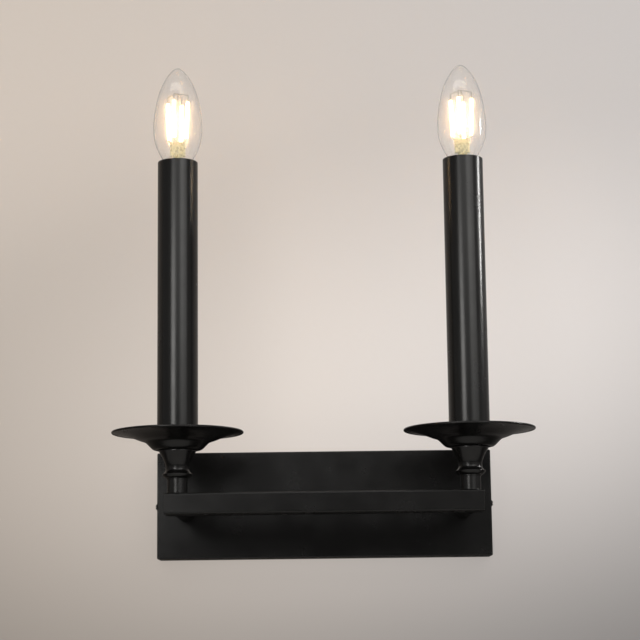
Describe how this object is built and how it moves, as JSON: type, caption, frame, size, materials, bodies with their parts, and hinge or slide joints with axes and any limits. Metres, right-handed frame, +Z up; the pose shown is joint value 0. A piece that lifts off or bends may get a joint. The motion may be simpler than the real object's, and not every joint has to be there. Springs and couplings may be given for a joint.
{
  "type": "wall sconce",
  "caption": "Black wall sconce with candle-style sleeves on drip pans, joined by a flat bar that stands out from a rectangular box canopy on round arms; clear filament candle lamps.",
  "frame": {"origin": "centre of the wall bracket's slot pattern, on the plane of the wall", "axes": "+X right as seen from the room, +Y into the wall, +Z up"},
  "size_m": [0.2964, 0.1512, 0.3486],
  "materials": {
    "black_paint": "satin black powder coat",
    "screw_black": "black oxide, semi-gloss",
    "zinc_steel": "zinc plated",
    "brass_shell": "bright",
    "holder_black": "moulded phenolic, matt",
    "holder_core": "cream moulding",
    "cap_nickel": "nickel plated",
    "clear_glass": "clear, polished",
    "press_glass": "moulded, faintly hazy",
    "insulator_black": "black vitrite",
    "solder_tip": "dull solder",
    "filament_amber": "phosphor coating, lit",
    "wire_steel": "drawn wire",
    "lead_black": "insulation",
    "lead_green": "insulation",
    "connector_clear": "moulded"
  },
  "bodies": {
    "root": {"canopy": "black_paint", "wall_bracket": "zinc_steel", "side_screws": "screw_black", "cross_bar": "black_paint", "arm_washers": "zinc_steel", "arm_nuts": "zinc_steel", "bar_nuts": "zinc_steel", "pan_washers": "zinc_steel", "pan_nuts": "zinc_steel", "live_connector": "connector_clear", "neutral_connector": "connector_clear", "earth_terminals": "zinc_steel", "earth_lead": "lead_green", "earth_screw": "zinc_steel", "earth_washer": "zinc_steel", "left_bar_cap": "black_paint", "left_arm": "black_paint", "left_arm_nipple": "zinc_steel", "left_stem": "black_paint", "left_cup": "black_paint", "left_drip_pan": "black_paint", "left_threaded_tube": "zinc_steel", "left_socket_base": "holder_black", "left_socket_body": "holder_black", "left_socket_core": "holder_core", "left_socket_shell": "brass_shell", "left_socket_contact": "brass_shell", "left_leads": "lead_black", "right_bar_cap": "black_paint", "right_arm": "black_paint", "right_arm_nipple": "zinc_steel", "right_stem": "black_paint", "right_cup": "black_paint", "right_drip_pan": "black_paint", "right_threaded_tube": "zinc_steel", "right_socket_base": "holder_black", "right_socket_body": "holder_black", "right_socket_core": "holder_core", "right_socket_shell": "brass_shell", "right_socket_contact": "brass_shell", "right_leads": "lead_black"},
    "left_sleeve": {"left_candle_sleeve": "black_paint"},
    "left_bulb": {"left_bulb_glass": "clear_glass", "left_bulb_cap": "cap_nickel", "left_bulb_insulator": "insulator_black", "left_bulb_tip": "solder_tip", "left_bulb_mount": "press_glass", "left_bulb_filaments": "filament_amber", "left_bulb_wires": "wire_steel"},
    "right_sleeve": {"right_candle_sleeve": "black_paint"},
    "right_bulb": {"right_bulb_glass": "clear_glass", "right_bulb_cap": "cap_nickel", "right_bulb_insulator": "insulator_black", "right_bulb_tip": "solder_tip", "right_bulb_mount": "press_glass", "right_bulb_filaments": "filament_amber", "right_bulb_wires": "wire_steel"}
  },
  "joints": [
    {"name": "left_sleeve_lift", "type": "slide", "parent": "root", "child": "left_sleeve", "axis": [0, 0, 1], "range_m": [0, 0.205]},
    {"name": "left_bulb_lift", "type": "slide", "parent": "left_sleeve", "child": "left_bulb", "axis": [0, 0, 1], "range_m": [0, 0.04]},
    {"name": "right_sleeve_lift", "type": "slide", "parent": "root", "child": "right_sleeve", "axis": [0, 0, 1], "range_m": [0, 0.205]},
    {"name": "right_bulb_lift", "type": "slide", "parent": "right_sleeve", "child": "right_bulb", "axis": [0, 0, 1], "range_m": [0, 0.04]}
  ]
}
